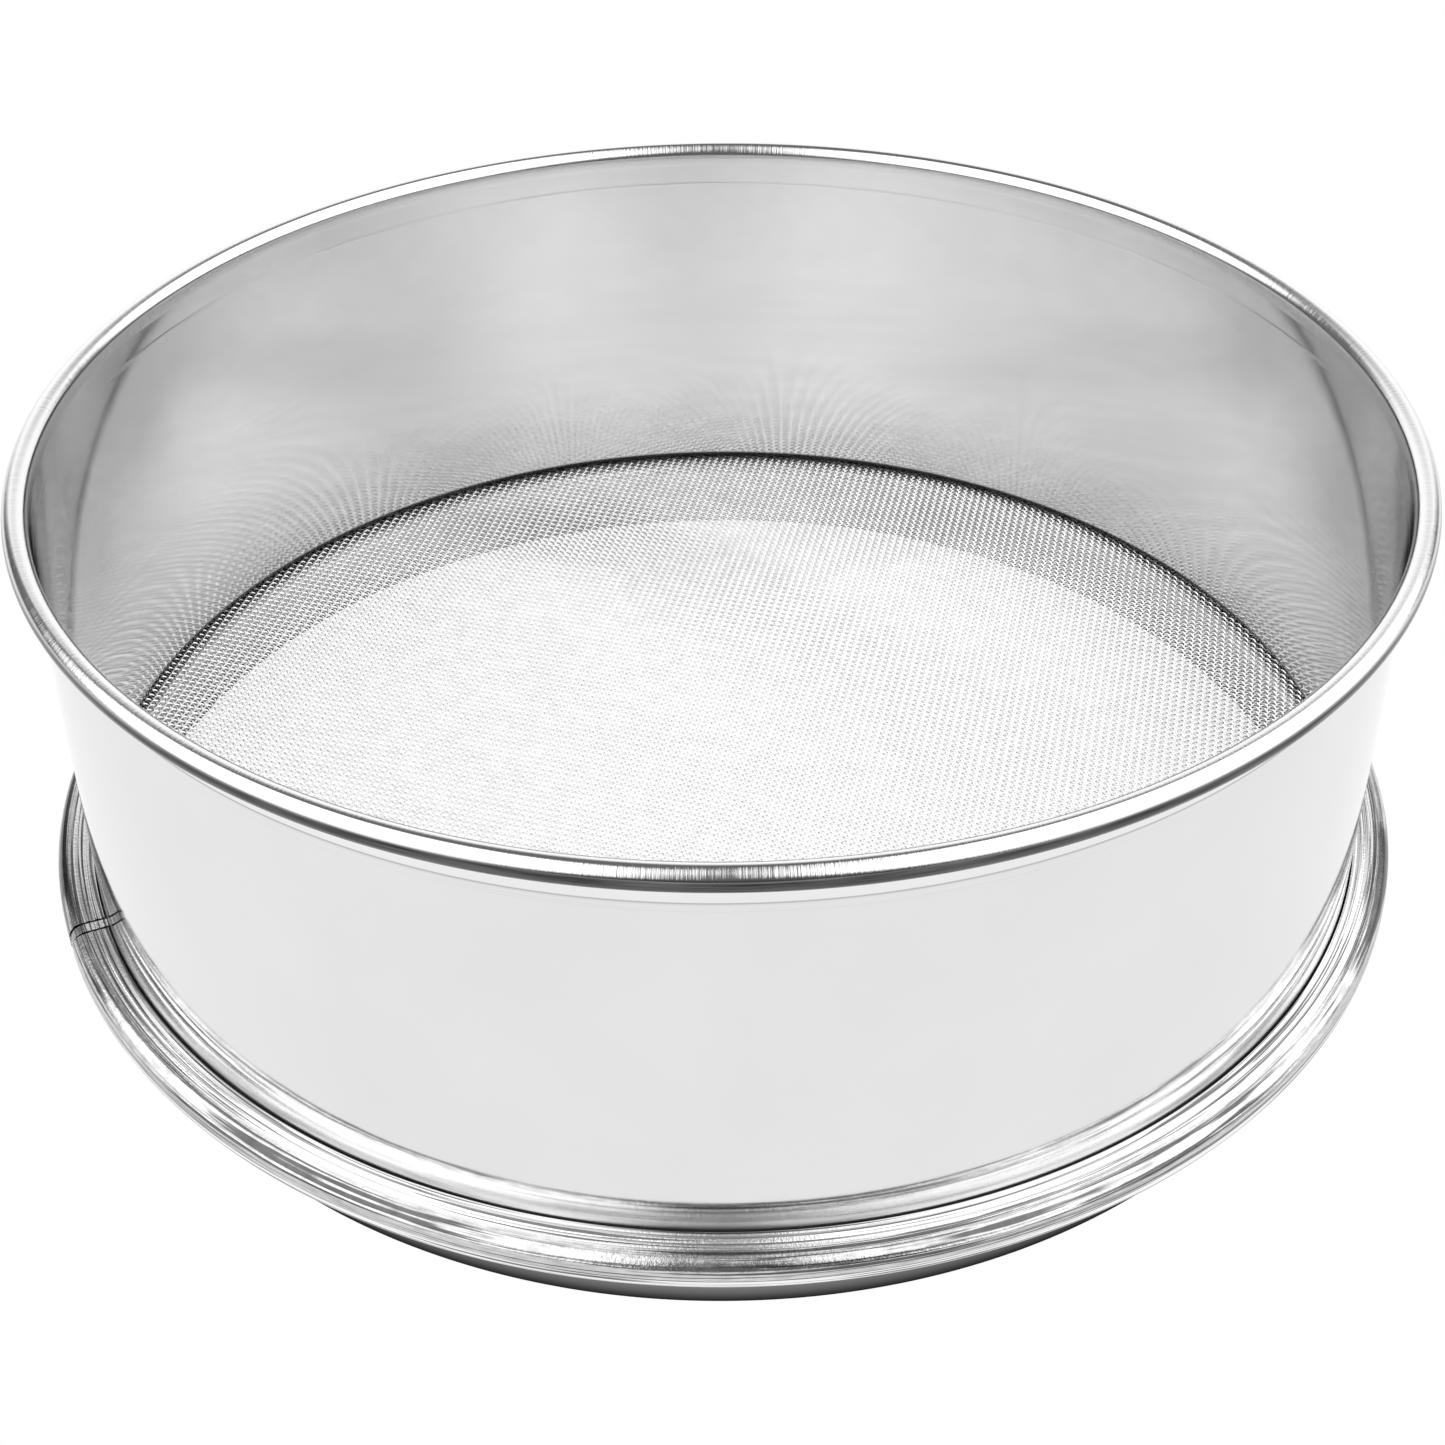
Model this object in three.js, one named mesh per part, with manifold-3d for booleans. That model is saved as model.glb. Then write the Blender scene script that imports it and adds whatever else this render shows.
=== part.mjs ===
// Round stainless-steel soil sieve: a deep upper shell with a wired rim, a woven wire
// screen clamped between two flanges, a short lower ring, and a crimped hoop that binds them.
// Units are millimetres, +Z is up, and the origin is the centre of the face it stands on.
import * as THREE from 'three';
import { mergeVertices } from 'three/addons/utils/BufferGeometryUtils.js';
import Module from 'manifold-3d';

// Driving dimensions
const rimRadius = 150;           // outside of the wired rim
const overallHeight = 113.6;     // from the standing edge to the top of the rim
const sheet = 0.5;               // wall thickness of the shell and the lower ring
const beadRadius = 2.6;          // outside radius of the rolled rim bead
const coreWireRadius = 1.8;      // steel wire inside the rim bead
const curlSweep = 300;           // degrees that the sheet turns round the core wire
const screenHeight = 18.8;       // middle of the woven screen above the standing edge
const screenThickness = 0.9;     // two wires deep
const screenRadius = 150.6;      // cut edge of the screen, inside the hoop
const layerGap = 0.3;            // clearance between the clamped layers
const shellFlangeRadius = 152.4; // outer edge of the shell's turned-out flange
const ringFlangeRadius = 151.4;  // outer edge of the lower ring's flange
const shellBend = 2.25;          // bend radius from wall to flange, at mid-sheet
const ringBend = 3;              // bend radius from skirt to flange, at mid-sheet
const skirtRadius = 143.7;       // outside of the skirt, small enough to nest in the rim
const hemWidth = 0.9;            // step inwards of the folded hem, at mid-sheet
const hemHeight = 3.2;           // height of the hem's inner leaf
const hoopSheet = 0.6;           // thickness of the hoop's strip
const hoopRadius = 153.9;        // outside of the hoop
const hoopTop = 22.5;            // top face of the hoop
const hoopBottom = 15.4;         // bottom face of the hoop
const hoopTopLip = 145.9;        // inner edge of the hoop's top lip
const hoopBottomLip = 147.4;     // inner edge of the hoop's bottom lip
const hoopTopCorner = 2.9;       // top outer corner radius, at mid-strip
const hoopBottomCorner = 1.5;    // bottom outer corner radius, at mid-strip
const hoopJointAngle = 204;      // degrees from +X to the butt joint of the hoop
const hoopJointGap = 0.8;        // slit between the strip's two ends

// Faceting
const roundSteps = 72;           // flats round each ring
const curlSteps = 10;            // flats round the rim curl
const bendSteps = 3;             // flats in each bend
const wireSteps = 8;             // flats round the core wire

// Derived radii and heights
const wallMid = rimRadius - 2 * beadRadius + sheet / 2;
const beadMid = rimRadius - beadRadius;
const beadHeight = overallHeight - beadRadius;
const curlRadius = beadRadius - sheet / 2;
const layerStep = screenThickness / 2 + layerGap + sheet / 2;
const shellFlangeHeight = screenHeight + layerStep;
const ringFlangeHeight = screenHeight - layerStep;
const skirtMid = skirtRadius - sheet / 2;

const wasm = await Module();
wasm.setup();

// Points of an arc in the (radius, height) plane, both ends included.
function arc(centreR, centreZ, radius, fromDegrees, toDegrees, steps) {
  const points = [];
  for (let i = 0; i <= steps; i += 1) {
    const angle = THREE.MathUtils.degToRad(fromDegrees + (toDegrees - fromDegrees) * (i / steps));
    points.push(new THREE.Vector2(centreR + radius * Math.cos(angle), centreZ + radius * Math.sin(angle)));
  }
  return points;
}

// Unit normal on the left of the step from one point to the next.
function leftNormal(from, to) {
  const along = to.clone().sub(from).normalize();
  return new THREE.Vector2(-along.y, along.x);
}

// One face of a bent sheet: the mid-line moved sideways by a distance, with mitred corners.
function offsetLine(line, distance) {
  return line.map((point, i) => {
    const before = i > 0 ? leftNormal(line[i - 1], point) : leftNormal(point, line[i + 1]);
    const after = i < line.length - 1 ? leftNormal(point, line[i + 1]) : before;
    const mitre = before.clone().add(after).normalize();
    return point.clone().addScaledVector(mitre, distance / mitre.dot(before));
  });
}

// Closed outline of a bent sheet, from its mid-line and its thickness.
function sheetOutline(midLine, thickness) {
  const outerFace = offsetLine(midLine, thickness / 2);
  const innerFace = offsetLine(midLine, -thickness / 2).reverse();
  return [...outerFace, ...innerFace];
}

// Solid of revolution of a closed outline, with its faces pointing out.
function spin(outline) {
  const ordered = THREE.ShapeUtils.isClockWise(outline) ? [...outline].reverse() : outline;
  const closed = [...ordered, ordered[0].clone()];
  const geometry = new THREE.LatheGeometry(closed, roundSteps);
  geometry.rotateX(Math.PI / 2);
  geometry.deleteAttribute('uv');
  geometry.deleteAttribute('normal');
  return mergeVertices(geometry, 1e-4);
}

function toSolid(geometry) {
  return new wasm.Manifold(new wasm.Mesh({
    numProp: 3,
    vertProperties: new Float32Array(geometry.attributes.position.array),
    triVerts: new Uint32Array(geometry.index.array),
  }));
}

function toGeometry(solid) {
  const mesh = solid.getMesh();
  const geometry = new THREE.BufferGeometry();
  geometry.setAttribute('position', new THREE.BufferAttribute(new Float32Array(mesh.vertProperties), 3));
  geometry.setIndex(new THREE.BufferAttribute(new Uint32Array(mesh.triVerts), 1));
  return geometry;
}

function addPart(group, name, geometry, material) {
  geometry.computeVertexNormals();
  const mesh = new THREE.Mesh(geometry, material);
  mesh.name = name;
  group.add(mesh);
  return mesh;
}

// Deep upper shell: flange, bend, straight wall and the curl round the core wire.
function upperShell() {
  const midLine = [
    new THREE.Vector2(shellFlangeRadius, shellFlangeHeight),
    ...arc(wallMid + shellBend, shellFlangeHeight + shellBend, shellBend, -90, -180, bendSteps),
    ...arc(beadMid, beadHeight, curlRadius, 180, 180 - curlSweep, curlSteps),
  ];
  return spin(sheetOutline(midLine, sheet));
}

// Round wire that stiffens the rim.
function rimCoreWire() {
  const section = arc(beadMid, beadHeight, coreWireRadius, 0, 360 - 360 / wireSteps, wireSteps - 1);
  return spin(section);
}

// The woven screen's outer form: a thin round disc.
function wireScreen() {
  const low = screenHeight - screenThickness / 2;
  const high = screenHeight + screenThickness / 2;
  const profile = [
    new THREE.Vector2(0, low),
    new THREE.Vector2(screenRadius, low),
    new THREE.Vector2(screenRadius, high),
    new THREE.Vector2(0, high),
  ];
  return spin(profile);
}

// Lower ring: flange under the screen, bend, straight skirt and a folded hem to stand on.
function lowerRing() {
  const foldWidth = hemWidth / 3;
  const standing = sheet / 2;
  const midLine = [
    new THREE.Vector2(ringFlangeRadius, ringFlangeHeight),
    ...arc(skirtMid + ringBend, ringFlangeHeight - ringBend, ringBend, 90, 180, bendSteps),
    new THREE.Vector2(skirtMid, standing + foldWidth),
    new THREE.Vector2(skirtMid - foldWidth, standing),
    new THREE.Vector2(skirtMid - 2 * foldWidth, standing),
    new THREE.Vector2(skirtMid - hemWidth, standing + foldWidth),
    new THREE.Vector2(skirtMid - hemWidth, hemHeight),
  ];
  return spin(sheetOutline(midLine, sheet));
}

// Channel-shaped hoop that closes over both flanges and the screen's edge, split at its joint.
function crimpHoop() {
  const half = hoopSheet / 2;
  const side = hoopRadius - half;
  const topArc = arc(side - hoopTopCorner, hoopTop - half - hoopTopCorner, hoopTopCorner, 90, 0, bendSteps);
  const bottomArc = arc(
    side - hoopBottomCorner, hoopBottom + half + hoopBottomCorner, hoopBottomCorner, 0, -90, bendSteps,
  );
  const midLine = [
    new THREE.Vector2(hoopTopLip, hoopTop - half),
    ...topArc,
    ...bottomArc,
    new THREE.Vector2(hoopBottomLip, hoopBottom + half),
  ];
  const slitDepth = hoopRadius - hoopTopLip + 2;
  const slit = new THREE.BoxGeometry(slitDepth, hoopJointGap, hoopTop - hoopBottom + 2);
  slit.translate((hoopRadius + hoopTopLip) / 2, 0, (hoopTop + hoopBottom) / 2);
  slit.rotateZ(THREE.MathUtils.degToRad(hoopJointAngle));
  slit.deleteAttribute('uv');
  slit.deleteAttribute('normal');
  const ring = toSolid(spin(sheetOutline(midLine, hoopSheet)));
  return toGeometry(ring.subtract(toSolid(mergeVertices(slit))));
}

const brushedSheet = new THREE.MeshStandardMaterial({ color: 0xcfd1d3, roughness: 0.28, metalness: 1 });
const polishedStrip = new THREE.MeshStandardMaterial({ color: 0xd4d6d8, roughness: 0.18, metalness: 1 });
const wovenWire = new THREE.MeshStandardMaterial({ color: 0xc4c6c8, roughness: 0.35, metalness: 1 });
const plainWire = new THREE.MeshStandardMaterial({ color: 0x9a9c9e, roughness: 0.45, metalness: 1 });

const sieve = new THREE.Group();
addPart(sieve, 'upper_shell', upperShell(), brushedSheet);
addPart(sieve, 'rim_core_wire', rimCoreWire(), plainWire);
addPart(sieve, 'wire_screen', wireScreen(), wovenWire);
addPart(sieve, 'lower_ring', lowerRing(), brushedSheet);
addPart(sieve, 'crimp_hoop', crimpHoop(), polishedStrip);

export default sieve;
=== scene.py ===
"""Looks of the round stainless-steel soil sieve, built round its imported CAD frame.

Every length is in metres in the CAD frame: +Z up, origin at the centre of the standing circle.
"""

import math

import bpy
import numpy as np
from mathutils import Matrix, Vector


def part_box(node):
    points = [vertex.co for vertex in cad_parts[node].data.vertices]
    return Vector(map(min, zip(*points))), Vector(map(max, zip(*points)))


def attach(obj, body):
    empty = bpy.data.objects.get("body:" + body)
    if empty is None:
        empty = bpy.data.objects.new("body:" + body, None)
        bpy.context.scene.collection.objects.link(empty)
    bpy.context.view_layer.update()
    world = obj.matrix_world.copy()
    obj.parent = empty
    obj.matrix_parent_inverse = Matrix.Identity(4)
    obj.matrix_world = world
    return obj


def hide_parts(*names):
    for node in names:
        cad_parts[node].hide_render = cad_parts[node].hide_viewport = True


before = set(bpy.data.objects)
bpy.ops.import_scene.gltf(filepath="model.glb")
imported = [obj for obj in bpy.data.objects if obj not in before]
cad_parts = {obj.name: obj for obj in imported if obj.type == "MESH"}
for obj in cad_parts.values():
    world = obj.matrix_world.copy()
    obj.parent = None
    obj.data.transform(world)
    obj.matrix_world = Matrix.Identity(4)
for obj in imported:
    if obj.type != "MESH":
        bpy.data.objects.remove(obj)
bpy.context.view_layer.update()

MM = 0.001
TURN = 2.0 * math.pi

# Sheet-metal facts that the frame's boxes don't give
SHEET = 0.5 * MM               # wall of the shell and of the skirt ring
HOOP_SHEET = 0.6 * MM          # strip of the hoop
CURL_SWEEP = 300.0             # degrees that the rim turns round its core wire
SHELL_BEND = 2.25 * MM         # wall to flange, at mid-sheet
RING_BEND = 3.0 * MM           # skirt to flange, at mid-sheet
SKIRT_RADIUS = 143.7 * MM      # outside of the skirt
HEM_WIDTH = 0.9 * MM           # step inwards of the folded hem, at mid-sheet
HEM_HEIGHT = 3.2 * MM          # top of the hem's inner leaf
HOOP_TOP_LIP = 145.75 * MM     # inner edge of the hoop's top
HOOP_BOTTOM_LIP = 147.4 * MM   # inner edge of the hoop's bottom
HOOP_TOP_CORNER = 2.9 * MM     # at mid-strip
HOOP_BOTTOM_CORNER = 1.5 * MM  # at mid-strip

# Groove that the rolling dies press into the wall under the rim
GROOVE_DROP = 7.6 * MM         # below the middle of the rim bead
GROOVE_WIDTH = 0.3 * MM
GROOVE_DEPTH = 0.02 * MM
GROOVE_MARGIN = 1.0 * MM       # stretch above and below it where the wall is finely divided

# Joint of the hoop: its ends stand apart, and a narrow sunk tongue sits between them
HOOP_JOINT_ANGLE = 204.0       # degrees from +X
JOINT_HALF_GAP = 1.9 * MM      # from the joint's middle to either end of the strip
TONGUE_SLIT = 0.6 * MM         # between the tongue and either end
TONGUE_SINK = 0.25 * MM        # how far the tongue lies below the strip

# Woven cloth, about 19 warp and 17.6 weft wires to the inch; the weft bends more than the warp
WIRE_RADIUS = 0.245 * MM
WIRE_SIDES = 5
WARP_PITCH = 1.326 * MM        # between warp wires
WEFT_PITCH = 1.442 * MM        # between weft wires
WARP_ANGLE = 121.1             # degrees from +X to the way that the warp wires run
WEFT_ANGLE = 31.1
WARP_CRIMP = 0.8 * WIRE_RADIUS   # how far a wire's middle rises or falls at a crossing
WEFT_CRIMP = 1.25 * WIRE_RADIUS
CREST = 0.2                    # half length of a crimp's level part, as a share of the pitch
CLOTH_MARGIN = 0.3 * MM        # every wire ends at least this far inside the screen's edge
CLOTH_BANDS = 5                # meshes that each family of wires is shared between

ROUND_STEPS = 576              # flats round each turned ring
SHARP_ANGLE = 40.0             # degrees between two faces from which their edge is kept sharp


# ---------------------------------------------------------------- places from the frame

core_low, core_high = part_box("rim_core_wire")
screen_low, screen_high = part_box("wire_screen")
ring_low, ring_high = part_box("lower_ring")
hoop_low, hoop_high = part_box("crimp_hoop")
shell_low, shell_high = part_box("upper_shell")

core_radius = (core_high[2] - core_low[2]) / 2
bead_height = (core_high[2] + core_low[2]) / 2
bead_mid = core_high[0] - core_radius
bead_radius = shell_high[2] - bead_height
curl_radius = bead_radius - SHEET / 2
wall_mid = bead_mid - curl_radius
groove_height = bead_height - GROOVE_DROP
shell_flange_height = shell_low[2] + SHEET / 2
screen_height = (screen_low[2] + screen_high[2]) / 2
ring_flange_height = ring_high[2] - SHEET / 2
skirt_mid = SKIRT_RADIUS - SHEET / 2


# ---------------------------------------------------------------- mesh helpers

def arc(centre, radius, start, stop, steps):
    """Points of an arc in the (radius, height) plane, both ends included; angles in degrees."""
    angles = np.radians(np.linspace(start, stop, steps + 1))
    return [(centre[0] + radius * math.cos(a), centre[1] + radius * math.sin(a)) for a in angles]


def straight(start, stop, steps):
    """Points between two ends, without the ends."""
    first, last = np.array(start), np.array(stop)
    return [tuple(first + (last - first) * i / steps) for i in range(1, steps)]


def sheet_outline(mid_line, thickness, relief=None):
    """Closed outline of a bent sheet, from its mid-line.

    relief(points) is how far both faces are pushed to the left of the line, in metres.
    """
    line = np.array(mid_line)
    step = np.diff(line, axis=0)
    step /= np.linalg.norm(step, axis=1, keepdims=True)
    normal = np.stack([-step[:, 1], step[:, 0]], axis=1)
    before = np.vstack([normal[:1], normal])
    after = np.vstack([normal, normal[-1:]])
    mitre = before + after
    mitre /= np.linalg.norm(mitre, axis=1, keepdims=True)
    mitre /= np.sum(mitre * before, axis=1, keepdims=True)
    proud = np.zeros(len(line)) if relief is None else relief(line)
    left = line + mitre * (thickness / 2 + proud)[:, None]
    right = line - mitre * (thickness / 2 - proud)[:, None]
    return np.vstack([left, right[::-1]])


def mesh_object(name, vertices, quads, polygons=()):
    """A mesh object from arrays, shaded smooth with its real edges kept sharp."""
    mesh = bpy.data.meshes.new(name)
    corners = [np.asarray(quads, np.int32).ravel()] + [np.asarray(p, np.int32) for p in polygons]
    loops = np.concatenate(corners)
    sizes = np.concatenate([np.full(len(quads), 4), [len(p) for p in polygons]]).astype(np.int32)
    starts = np.concatenate([[0], np.cumsum(sizes)[:-1]]).astype(np.int32)
    mesh.vertices.add(len(vertices))
    mesh.vertices.foreach_set("co", np.asarray(vertices, np.float32).ravel())
    mesh.loops.add(len(loops))
    mesh.loops.foreach_set("vertex_index", loops)
    mesh.polygons.add(len(sizes))
    mesh.polygons.foreach_set("loop_start", starts)
    mesh.update(calc_edges=True)
    mesh.validate()
    mesh.shade_smooth()
    mesh.set_sharp_from_angle(angle=math.radians(SHARP_ANGLE))
    piece = bpy.data.objects.new(name, mesh)
    bpy.context.scene.collection.objects.link(piece)
    return piece


def turned(outline, start, stop, steps, shift=None):
    """Vertices and faces of an outline turned about Z; a part turn gets end caps."""
    whole = abs(stop - start - TURN) < 1e-9
    angles = np.linspace(start, stop, steps + 1)
    angles = angles[:-1] if whole else angles
    phi, radius = np.meshgrid(angles, outline[:, 0], indexing="ij")
    height = np.broadcast_to(outline[:, 1], radius.shape)
    if shift is not None:
        radius = radius + shift(phi, height)
    vertices = np.stack([radius * np.cos(phi), radius * np.sin(phi), height], axis=-1).reshape(-1, 3)
    count = len(outline)
    rows = np.arange(steps)
    here = rows[:, None] * count + np.arange(count)[None]
    there = ((rows + 1) % len(angles))[:, None] * count + np.arange(count)[None]
    quads = np.stack([here, np.roll(here, -1, axis=1), np.roll(there, -1, axis=1), there], axis=-1)
    quads = quads.reshape(-1, 4)
    area = np.sum(outline[:, 0] * np.roll(outline[:, 1], -1) - np.roll(outline[:, 0], -1) * outline[:, 1])
    caps = [] if whole else [np.arange(count)[::-1], np.arange(count) + (len(angles) - 1) * count]
    if area < 0:
        return vertices, quads, caps
    return vertices, quads[:, ::-1], [cap[::-1] for cap in caps]


def ring_piece(name, outline, shift=None):
    return mesh_object(name, *turned(outline, 0.0, TURN, ROUND_STEPS, shift))


# ---------------------------------------------------------------- pieces

def hand_rolled(phi, height):
    """How far a hand-rolled wall strays from round: under 0.2 mm, and nothing at its ends."""
    along = np.clip((height - shell_flange_height) / (bead_height - shell_flange_height), 0, 1)
    free = np.sin(np.pi * along) ** 2
    slow = 0.10 * np.sin(2 * phi + 0.6) + 0.05 * np.sin(3 * phi + 2.1)
    quick = 0.020 * np.sin(9 * phi + 4 * along) + 0.012 * np.sin(17 * phi - 3 * along + 1.0)
    return MM * free * (slow + quick)


def rim_groove(line):
    """Shallow groove that the rolling dies press into the wall under the rim."""
    gap = (line[:, 1] - groove_height) / GROOVE_WIDTH
    beside_wall = np.abs(line[:, 0] - wall_mid) < 0.1 * MM
    return np.where(beside_wall, GROOVE_DEPTH * np.exp(-gap ** 2), 0.0)


def rolled_shell():
    """Deep wall with its flange below and its rim rolled round the core wire."""
    flange_radius = shell_high[0]
    bend_centre = (wall_mid + SHELL_BEND, shell_flange_height + SHELL_BEND)
    line = [(flange_radius, shell_flange_height)]
    line += straight(line[0], (bend_centre[0], shell_flange_height), 4)
    line += arc(bend_centre, SHELL_BEND, -90, -180, 8)
    groove_low = (wall_mid, groove_height - GROOVE_MARGIN)
    groove_high = (wall_mid, groove_height + GROOVE_MARGIN)
    line += straight((wall_mid, bend_centre[1]), groove_low, 14)
    line += [groove_low]
    line += straight(groove_low, groove_high, 14)
    line += [groove_high]
    line += straight(groove_high, (wall_mid, bead_height), 6)
    line += arc((bead_mid, bead_height), curl_radius, 180, 180 - CURL_SWEEP, 28)
    return ring_piece("rolled_shell", sheet_outline(line, SHEET, rim_groove), hand_rolled)


def core_wire_ring():
    """Round wire closed inside the rim."""
    section = np.array(arc((bead_mid, bead_height), core_radius, 0, 360, 20)[:-1])
    return ring_piece("core_wire_ring", section)


def skirt_ring():
    """Short lower ring: flange under the screen, skirt, and a folded hem to stand on."""
    flange_radius = ring_high[0]
    fold = HEM_WIDTH / 2
    bend_centre = (skirt_mid + RING_BEND, ring_flange_height - RING_BEND)
    line = [(flange_radius, ring_flange_height)]
    line += straight(line[0], (bend_centre[0], ring_flange_height), 4)
    line += arc(bend_centre, RING_BEND, 90, 180, 10)
    line += straight((skirt_mid, bend_centre[1]), (skirt_mid, SHEET / 2 + fold), 8)
    line += arc((skirt_mid - fold, SHEET / 2 + fold), fold, 0, -180, 10)
    line += [(skirt_mid - HEM_WIDTH, HEM_HEIGHT)]
    return ring_piece("skirt_ring", sheet_outline(line, SHEET))


def hoop_relief(line):
    """Roller ridges and grooves pressed into the hoop."""
    # radius, height, width and how proud, in millimetres
    ridges = (
        (146.6, 22.2, 0.20, -0.10), (147.5, 22.2, 0.25, 0.12), (148.4, 22.2, 0.20, -0.15),
        (149.2, 22.2, 0.25, 0.13), (150.0, 22.2, 0.20, -0.12), (151.0, 22.1, 0.22, -0.12),
        (152.3, 21.5, 0.25, 0.07), (153.1, 20.7, 0.22, -0.07), (153.6, 19.2, 0.25, -0.08),
    )
    proud = np.zeros(len(line))
    for radius, height, width, depth in ridges:
        gap = np.hypot(line[:, 0] - radius * MM, line[:, 1] - height * MM)
        proud += depth * MM * np.exp(-(gap / (width * MM)) ** 2)
    return proud


def crimped_hoop():
    """Hoop folded over both flanges, with a narrow sunk tongue between its two ends."""
    half = HOOP_SHEET / 2
    side = hoop_high[0] - half
    top = hoop_high[2] - half
    bottom = hoop_low[2] + half
    top_centre = (side - HOOP_TOP_CORNER, top - HOOP_TOP_CORNER)
    bottom_centre = (side - HOOP_BOTTOM_CORNER, bottom + HOOP_BOTTOM_CORNER)
    line = [(HOOP_TOP_LIP, top)]
    line += straight(line[0], (top_centre[0], top), 32)
    line += arc(top_centre, HOOP_TOP_CORNER, 90, 0, 28)
    line += arc(bottom_centre, HOOP_BOTTOM_CORNER, 0, -90, 12)
    line += straight((bottom_centre[0], bottom), (HOOP_BOTTOM_LIP, bottom), 4)
    line += [(HOOP_BOTTOM_LIP, bottom)]
    strip = sheet_outline(line, HOOP_SHEET, hoop_relief)
    tongue = sheet_outline(line, HOOP_SHEET)

    joint = math.radians(HOOP_JOINT_ANGLE)
    gap = JOINT_HALF_GAP / side
    cut = TONGUE_SLIT / side

    def sunk(phi, height):
        return np.full(phi.shape, -TONGUE_SINK)

    run = turned(strip, joint + gap, joint + TURN - gap, ROUND_STEPS)
    lap = turned(tongue, joint - gap + cut, joint + gap - cut, 8, sunk)
    vertices = np.vstack([run[0], lap[0]])
    quads = np.vstack([run[1], lap[1] + len(run[0])])
    caps = run[2] + [cap + len(run[0]) for cap in lap[2]]
    return mesh_object("crimped_hoop", vertices, quads, caps)


def woven_family(name, angle, spacing, other_spacing, crimp, first, last):
    """Wires first to last of one family of the cloth, each crimped over and under the other family.

    spacing is between these wires, other_spacing between the ones they cross, and crimp is how far
    they rise, or with a minus sign first fall, at a crossing.
    """
    cloth_radius = screen_high[0] - CLOTH_MARGIN
    along = np.array([math.cos(angle), math.sin(angle), 0.0])
    across = np.array([math.sin(angle), -math.cos(angle), 0.0])
    up = np.array([0.0, 0.0, 1.0])
    facing = np.linspace(0, TURN, WIRE_SIDES, endpoint=False) + TURN / 4
    section = WIRE_RADIUS * (np.cos(facing)[:, None] * across + np.sin(facing)[:, None] * up)
    vertices = []
    quads = []
    caps = []
    count = 0
    for wire in range(first, last):
        offset = (wire + 0.5) * spacing
        reach = math.sqrt(max(cloth_radius ** 2 - offset ** 2, 0.0))
        ends = int(reach / other_spacing - 0.5)
        if ends < 1:
            continue
        crossing = np.arange(-ends, ends)
        level = np.where((crossing + wire) % 2 == 0, crimp, -crimp)
        travel = ((crossing + 0.5)[:, None] + np.array([-CREST, CREST])).ravel() * other_spacing
        middle = travel[:, None] * along + offset * across + np.repeat(level, 2)[:, None] * up
        middle[:, 2] += screen_height
        rings = len(middle)
        vertices.append((middle[:, None, :] + section[None]).reshape(-1, 3))
        here = count + np.arange(rings - 1)[:, None] * WIRE_SIDES + np.arange(WIRE_SIDES)[None]
        turn = np.roll(here, -1, axis=1)
        quads.append(np.stack([here, turn, turn + WIRE_SIDES, here + WIRE_SIDES], axis=-1).reshape(-1, 4))
        caps.append(count + np.arange(WIRE_SIDES)[::-1])
        caps.append(count + (rings - 1) * WIRE_SIDES + np.arange(WIRE_SIDES))
        count += rings * WIRE_SIDES
    return mesh_object(name, np.vstack(vertices), np.vstack(quads), caps)


def woven_screen():
    """Both families of the plain weave, in bands of wires so that no mesh grows too large."""
    families = (
        ("warp_wires", WARP_ANGLE, WARP_PITCH, WEFT_PITCH, WARP_CRIMP),
        ("weft_wires", WEFT_ANGLE, WEFT_PITCH, WARP_PITCH, WEFT_CRIMP),
    )
    bands = []
    for family, angle, spacing, other_spacing, crimp in families:
        half = int(screen_high[0] / spacing) + 1
        edges = np.linspace(-half, half, CLOTH_BANDS + 1).astype(int)
        for band, (first, last) in enumerate(zip(edges[:-1], edges[1:])):
            name = f"{family}_{band + 1}"
            bands.append(woven_family(name, math.radians(angle), spacing, other_spacing, crimp, first, last))
    return bands


# ---------------------------------------------------------------- materials

COOL_TINT = (1.0, 1.0, 1.005)
FACE_BLEND = 0.05 * MM         # either side of the sheet's middle, where inside turns to outside


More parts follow.
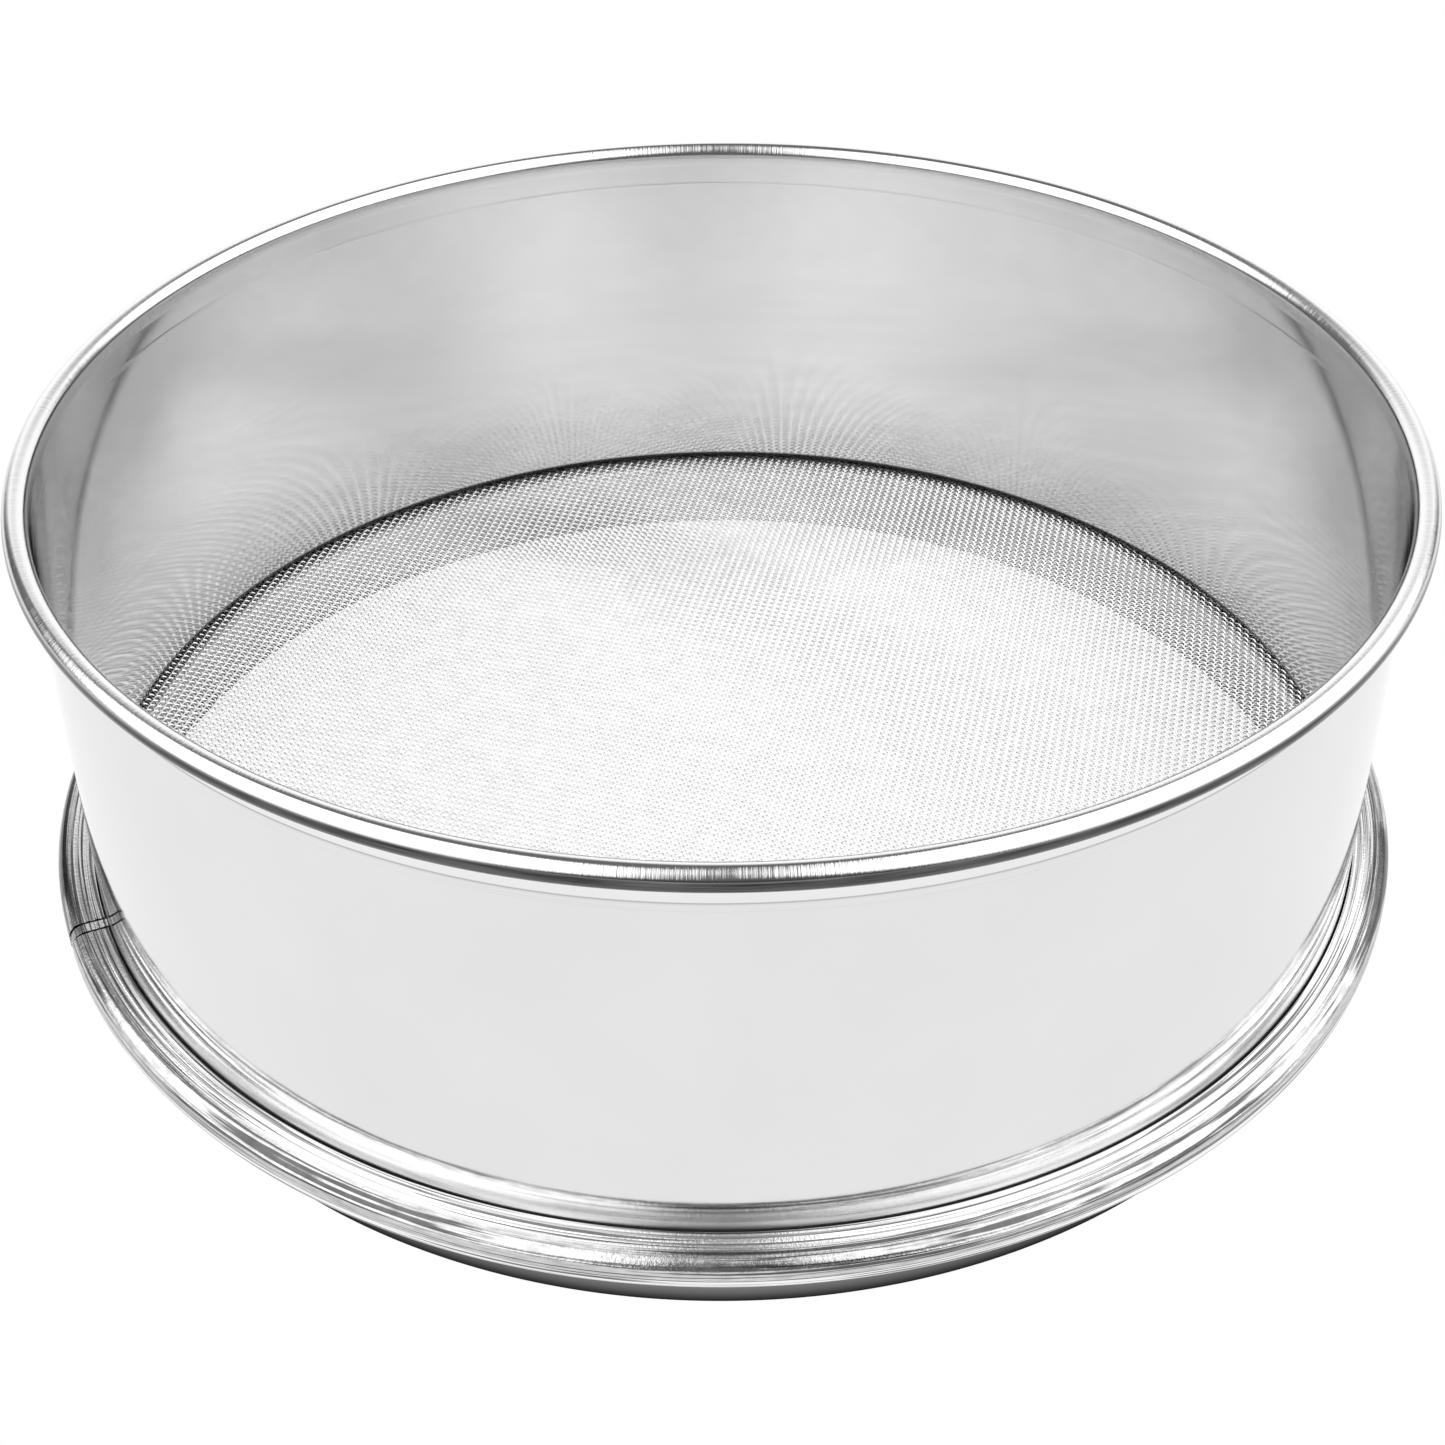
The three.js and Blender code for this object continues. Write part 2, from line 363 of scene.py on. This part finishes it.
class Nodes:
    """Shorthand for building the nodes of a material or of the world."""

    def __init__(self, owner):
        self.owner = owner
        self.owner.use_nodes = True
        self.tree = self.owner.node_tree
        self.tree.nodes.clear()

    def add(self, kind, **settings):
        node = self.tree.nodes.new(kind)
        for key, value in settings.items():
            setattr(node, key, value)
        return node

    def link(self, source, target):
        self.tree.links.new(source, target)

    def feed(self, socket, value):
        if isinstance(value, bpy.types.NodeSocket):
            self.link(value, socket)
        else:
            socket.default_value = value

    def math(self, operation, first, second=0.0):
        node = self.add("ShaderNodeMath", operation=operation)
        self.feed(node.inputs[0], first)
        self.feed(node.inputs[1], second)
        return node.outputs[0]

    def product(self, first, *others):
        """Everything multiplied together."""
        for other in others:
            first = self.math("MULTIPLY", first, other)
        return first

    def step(self, value, off, full):
        """A mask that rises smoothly from 0 at off to 1 at full, whichever of the two is the larger."""
        if off < full:
            return self.ranged(value, off, full, 0.0, 1.0, True)
        return self.ranged(value, full, off, 1.0, 0.0, True)

    def vector(self, x, y, z):
        node = self.add("ShaderNodeCombineXYZ")
        for socket, value in zip(node.inputs, (x, y, z)):
            self.feed(socket, value)
        return node.outputs[0]

    def noise(self, place, scale, detail=2.0, roughness=0.5):
        node = self.add("ShaderNodeTexNoise")
        self.link(place, node.inputs["Vector"])
        node.inputs["Scale"].default_value = scale
        node.inputs["Detail"].default_value = detail
        node.inputs["Roughness"].default_value = roughness
        return node.outputs["Fac"]

    def ranged(self, value, low, high, to_low, to_high, smooth=False):
        node = self.add("ShaderNodeMapRange", interpolation_type="SMOOTHSTEP" if smooth else "LINEAR")
        self.link(value, node.inputs["Value"])
        for key, number in (("From Min", low), ("From Max", high), ("To Min", to_low), ("To Max", to_high)):
            node.inputs[key].default_value = number
        return node.outputs["Result"]

    def spread(self, noise, low, high):
        """A noise, whose values lie mostly from 0.3 to 0.7, spread from low to high."""
        return self.ranged(noise, 0.3, 0.7, low, high)

    def bump(self, height, distance, after=None):
        node = self.add("ShaderNodeBump")
        self.link(height, node.inputs["Height"])
        node.inputs["Distance"].default_value = distance
        if after is not None:
            self.link(after, node.inputs["Normal"])
        return node.outputs["Normal"]

    def grey(self, level, tint=(1.0, 1.0, 1.0)):
        """A grey whose level is driven by nodes."""
        return self.vector(*[self.math("MULTIPLY", level, part) for part in tint])

    def output(self, shader, kind):
        """Links the shader to the output, and gives back the material or world."""
        self.link(shader.outputs[0], self.add(kind).inputs["Surface"])
        return self.owner

    def steel(self, colour, roughness, normal=None):
        shader = self.add("ShaderNodeBsdfPrincipled")
        shader.inputs["Metallic"].default_value = 1.0
        self.feed(shader.inputs["Base Color"], colour)
        self.feed(shader.inputs["Roughness"], roughness)
        if normal is not None:
            self.link(normal, shader.inputs["Normal"])
        return self.output(shader, "ShaderNodeOutputMaterial")

    def emission(self, level):
        shader = self.add("ShaderNodeEmission")
        shader.inputs["Color"].default_value = (1.0, 1.0, 1.0, 1.0)
        self.feed(shader.inputs["Strength"], level)
        return self.output(shader, "ShaderNodeOutputMaterial")

    def round_place(self):
        """Where a point is on a turned piece: x, y, height, distance from the axis and direction from it."""
        place = self.add("ShaderNodeTexCoord").outputs["Object"]
        split = self.add("ShaderNodeSeparateXYZ")
        self.link(place, split.inputs[0])
        x, y, z = split.outputs
        distance = self.math("SQRT", self.math("ADD", self.product(x, x), self.product(y, y)))
        direction = self.vector(self.math("DIVIDE", x, distance), self.math("DIVIDE", y, distance), 0.0)
        return x, y, z, distance, direction


def round_brushing(nodes, x, y, z, distance, fine, drift):
    """Noise drawn out along the turning direction: fine across it, and slow round it."""
    across = nodes.math("ADD", nodes.math("MULTIPLY", z, fine), nodes.math("MULTIPLY", distance, fine * 0.83))
    place = nodes.vector(nodes.math("MULTIPLY", x, drift), nodes.math("MULTIPLY", y, drift), across)
    return nodes.noise(place, 1.0, detail=3.0, roughness=0.6)


def sheet_steel():
    """Polished rolled sheet with marks from the rolling dies; painted shade on the rim's outer half, in the
    seam round the screen and inside the wall; painted reflections of the rim and the hoop on the wall.
    """
    nodes = Nodes(bpy.data.materials.new("polished_sheet_steel"))
    x, y, z, distance, direction = nodes.round_place()
    lines = round_brushing(nodes, x, y, z, distance, fine=1500.0, drift=22.0)
    streaks = round_brushing(nodes, x, y, z, distance, fine=3000.0, drift=60.0)
    rules = round_brushing(nodes, x, y, z, distance, fine=2600.0, drift=9.0)
    clouds = nodes.noise(nodes.vector(x, y, z), 28.0, detail=3.0)
    inside = nodes.ranged(distance, wall_mid - FACE_BLEND, wall_mid + FACE_BLEND, 1.0, 0.0)
    outside = nodes.math("SUBTRACT", 1.0, inside)
    above_skirt = nodes.ranged(z, ring_flange_height, screen_height, 0.0, 1.0)

    # painted shade over the outer half of the rim, streaky
    on_rim = nodes.step(z, bead_height - bead_radius, bead_height - 0.7 * bead_radius)
    outward = nodes.step(distance, bead_mid, bead_mid + 0.4 * bead_radius)
    over = nodes.step(z, bead_height + 0.65 * bead_radius, bead_height + 0.2 * bead_radius)
    band = nodes.product(on_rim, outward, over, nodes.spread(streaks, 0.84, 1.0))

    # a painted reflection of the rim on the wall under it: a pale band with a dark line at its foot, and fine
    # lines below that
    pale_reflection_band = nodes.product(
        outside,
        nodes.step(z, groove_height + 0.05 * MM, groove_height + 0.35 * MM),
        nodes.step(z, groove_height + 2.9 * MM, groove_height + 2.3 * MM),
    )
    dark_reflection_line = nodes.product(
        outside,
        nodes.step(z, groove_height - 0.35 * MM, groove_height - 0.1 * MM),
        nodes.step(z, groove_height + 0.25 * MM, groove_height),
    )
    ruled = nodes.product(
        outside,
        nodes.step(z, groove_height - 4.0 * MM, groove_height - 0.5 * MM),
        nodes.step(z, groove_height + 0.2 * MM, groove_height),
        nodes.step(rules, 0.52, 0.62),
    )

    # painted dark reflection at the foot of the wall over the hoop, streaky; the same stretch is rougher,
    # worn where the hoop was crimped on
    foot_reflection_and_wear = nodes.product(
        outside,
        above_skirt,
        nodes.step(z, hoop_high[2] + 7.0 * MM, hoop_high[2] + 0.5 * MM),
    )

    # painted shade in the seam round the screen
    seam_above = nodes.math(
        "MAXIMUM",
        nodes.product(inside, nodes.step(z, shell_flange_height + 2.4 * MM, shell_flange_height + 1.4 * MM)),
        nodes.step(z, shell_flange_height + 1.6 * MM, shell_flange_height + 1.0 * MM),
    )
    seam_below = nodes.step(z, ring_flange_height - 1.0 * MM, ring_flange_height - 0.2 * MM)
    seam_shade = nodes.product(seam_above, seam_below)

    level = nodes.spread(clouds, 0.765, 0.790)
    # each mark with the share of the brightness that it takes away
    marks = (
        (band, 0.97), (pale_reflection_band, -0.08), (dark_reflection_line, 0.35), (ruled, 0.06), (seam_shade, 0.95),
        (nodes.product(foot_reflection_and_wear, nodes.spread(streaks, 0.5, 1.0)), 0.35),
        # painted shade: the inside of the wall above the skirt is a little darker
        (nodes.product(inside, above_skirt), 0.08),
    )
    for mask, depth in marks:
        level = nodes.product(level, nodes.math("SUBTRACT", 1.0, nodes.product(mask, depth)))
    # and how much rougher the worn parts are
    roughness = nodes.spread(lines, 0.05, 0.09)
    for mask, more in ((on_rim, 0.05), (foot_reflection_and_wear, 0.24), (inside, 0.01)):
        roughness = nodes.math("ADD", roughness, nodes.product(mask, more))
    ticks = nodes.noise(direction, 230.0, detail=3.0, roughness=0.8)
    normal = nodes.bump(lines, 0.0015 * MM)
    normal = nodes.bump(nodes.product(ticks, on_rim), 0.05 * MM, normal)
    return nodes.steel(nodes.grey(level, COOL_TINT), roughness, normal)


def hoop_steel():
    """Bright strip, hammered a little and ruled with fine roller lines along it."""
    nodes = Nodes(bpy.data.materials.new("rolled_hoop_steel"))
    x, y, z, distance = nodes.round_place()[:4]
    place = nodes.vector(x, y, z)
    lines = round_brushing(nodes, x, y, z, distance, fine=2600.0, drift=26.0)
    grime = nodes.step(round_brushing(nodes, x, y, z, distance, fine=2300.0, drift=14.0), 0.50, 0.57)
    shoulder_blotches = round_brushing(nodes, x, y, z, distance, fine=3000.0, drift=260.0)
    hammered = nodes.noise(place, 1500.0, detail=3.0, roughness=0.65)

    # painted shade over the hoop's shoulder and side, in blotches along the hoop
    shoulder_shade = nodes.product(
        nodes.step(distance, hoop_high[0] - 4.1 * MM, hoop_high[0] - 3.1 * MM),
        nodes.step(z, hoop_low[2] + 2.3 * MM, hoop_low[2] + 3.0 * MM),
        nodes.ranged(shoulder_blotches, 0.35, 0.65, 0.5, 1.0),
    )
    level = nodes.spread(lines, 0.84, 1.0)
    for mask, depth in ((grime, 0.80), (shoulder_shade, 0.48)):
        level = nodes.product(level, nodes.math("SUBTRACT", 1.0, nodes.product(mask, depth)))
    roughness = nodes.spread(nodes.noise(place, 60.0, detail=3.0), 0.11, 0.20)
    normal = nodes.bump(lines, 0.03 * MM)
    normal = nodes.bump(hammered, 0.05 * MM, normal)
    return nodes.steel(nodes.grey(level, COOL_TINT), roughness, normal)


def wire_steel(name, bright, dark, rough):
    """Drawn wire: slight changes of tone from place to place."""
    nodes = Nodes(bpy.data.materials.new(name))
    place = nodes.add("ShaderNodeTexCoord").outputs["Object"]
    tone = nodes.noise(place, 240.0)
    level = nodes.spread(tone, dark, bright)
    roughness = nodes.spread(nodes.noise(place, 900.0), rough, rough + 0.1)
    return nodes.steel(nodes.grey(level), roughness)


# ---------------------------------------------------------------- stage, light and camera

FLOOR_HALF = 6.0               # half the side of the table
SHADOW_OUTSIDE = 15 * MM       # width of the contact shadow outside the skirt
SHADOW_INSIDE = 36 * MM        # and inside it

# Middle of each softbox (azimuth and elevation) and its radius, in degrees
SOFTBOXES = (((207, 40), 47), ((348, 42), 51))
SOFTBOX_EDGE = 4               # half width of a softbox's soft edge, in degrees
SOFTBOX_LEVEL = 1.92
BACKDROP_LEVEL = 1.24
ROOM_LEVELS = (0.128, 0.16)    # light from the rest of the room, at the horizon and well above it

CAMERA_LENS = 59.33            # focal length in millimetres, on a 36 mm frame
CAMERA_TURNS = (36.65, -0.96, -0.36)           # pitch down, yaw and roll, in degrees
CAMERA_PLACE = (0.00746, -0.44657, 0.2544)     # the height is above the middle of the rim bead


def stage_mesh(name, vertices, faces, material):
    mesh = bpy.data.meshes.new(name)
    mesh.from_pydata(vertices, [], faces)
    mesh.materials.append(material)
    piece = bpy.data.objects.new(name, mesh)
    bpy.context.scene.collection.objects.link(piece)
    return piece


def floor():
    """White glowing table with a soft contact shadow along the skirt, though the camera sees it plain."""
    half = FLOOR_HALF
    corners = [(-half, -half, 0.0), (half, -half, 0.0), (half, half, 0.0), (-half, half, 0.0)]
    nodes = Nodes(bpy.data.materials.new("white_table"))
    distance = nodes.round_place()[3]
    outward = nodes.math("DIVIDE", nodes.math("SUBTRACT", distance, SKIRT_RADIUS), SHADOW_OUTSIDE)
    inward = nodes.math("DIVIDE", nodes.math("SUBTRACT", SKIRT_RADIUS, distance), SHADOW_INSIDE)
    level = nodes.math("MINIMUM", nodes.math("MAXIMUM", outward, inward), 1.0)
    seen = nodes.add("ShaderNodeLightPath").outputs["Is Camera Ray"]
    stage_mesh("floor", corners, [(0, 1, 2, 3)], nodes.emission(nodes.math("MAXIMUM", level, seen)))


def toward(azimuth, elevation):
    """Unit vector toward an azimuth and an elevation, in degrees."""
    turn, rise = math.radians(azimuth), math.radians(elevation)
    return Vector((math.cos(turn) * math.cos(rise), math.sin(turn) * math.cos(rise), math.sin(rise)))


def studio_world():
    """Two large round softboxes overhead on the left and right, with a pale backdrop behind."""
    nodes = Nodes(bpy.data.worlds.new("studio"))
    look = nodes.add("ShaderNodeTexCoord").outputs["Generated"]
    split = nodes.add("ShaderNodeSeparateXYZ")
    nodes.link(look, split.inputs[0])
    x, y, z = split.outputs

    def softbox(centre, radius):
        dot = nodes.add("ShaderNodeVectorMath", operation="DOT_PRODUCT")
        nodes.link(look, dot.inputs[0])
        dot.inputs[1].default_value = toward(*centre)
        outer, inner = (math.cos(math.radians(radius + part)) for part in (SOFTBOX_EDGE, -SOFTBOX_EDGE))
        return nodes.step(dot.outputs["Value"], outer, inner)

    sideways = nodes.math("ABSOLUTE", x)
    forward = nodes.math("MAXIMUM", nodes.math("ABSOLUTE", y), 0.02)  # never zero, as it divides
    slant = nodes.math("DIVIDE", sideways, forward)
    boxes = nodes.math("MAXIMUM", *[softbox(centre, radius) for centre, radius in SOFTBOXES])
    # a dark strip from front to back parts the two softboxes
    boxes = nodes.product(boxes, nodes.step(slant, 0.15, 0.27), nodes.step(sideways, 0.06, 0.13))
    backdrop = nodes.product(nodes.step(y, 0.05, 0.2), nodes.step(slant, 1.1, 0.6), nodes.step(z, 0.82, 0.42))
    boxes = nodes.product(boxes, SOFTBOX_LEVEL)
    level = nodes.math("MAXIMUM", boxes, nodes.product(backdrop, BACKDROP_LEVEL))
    level = nodes.math("MAXIMUM", level, nodes.ranged(z, 0.0, 0.4, *ROOM_LEVELS, True))
    seen = nodes.math("MAXIMUM", level, nodes.add("ShaderNodeLightPath").outputs["Is Camera Ray"])
    background = nodes.add("ShaderNodeBackground")
    background.inputs["Color"].default_value = (1.0, 1.0, 1.0, 1.0)
    nodes.link(seen, background.inputs["Strength"])
    bpy.context.scene.world = nodes.output(background, "ShaderNodeOutputWorld")


def camera():
    """A 59 mm lens on a 36 mm frame, a little over half a metre away, looking down into the sieve."""
    data = bpy.data.cameras.new("camera")
    data.sensor_width = 36.0
    data.lens = CAMERA_LENS
    data.clip_start = 0.01
    pitch, yaw, roll = (math.radians(a) for a in CAMERA_TURNS)
    turn = (
        Matrix.Rotation(-yaw, 4, "Z")
        @ Matrix.Rotation(TURN / 4 - pitch, 4, "X")
        @ Matrix.Rotation(roll, 4, "Z")
    )
    piece = bpy.data.objects.new("camera", data)
    x, y, above_bead = CAMERA_PLACE
    piece.matrix_world = Matrix.Translation(Vector((x, y, bead_height + above_bead))) @ turn
    bpy.context.scene.collection.objects.link(piece)
    bpy.context.scene.camera = piece


# ---------------------------------------------------------------- assembly

def fit(piece, node, material):
    """Dresses a piece, puts it on the one body and lets it stand for its CAD node."""
    piece.data.materials.append(material)
    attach(piece, "root")
    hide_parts(node)


camera()
floor()
studio_world()
sheet = sheet_steel()
fit(rolled_shell(), "upper_shell", sheet)
fit(skirt_ring(), "lower_ring", sheet)
fit(core_wire_ring(), "rim_core_wire", wire_steel("core_wire_steel", 0.62, 0.52, 0.35))
fit(crimped_hoop(), "crimp_hoop", hoop_steel())
cloth = wire_steel("screen_wire_steel", 0.88, 0.79, 0.29)
for band in woven_screen():
    fit(band, "wire_screen", cloth)

bpy.context.scene.view_settings.view_transform = "Standard"
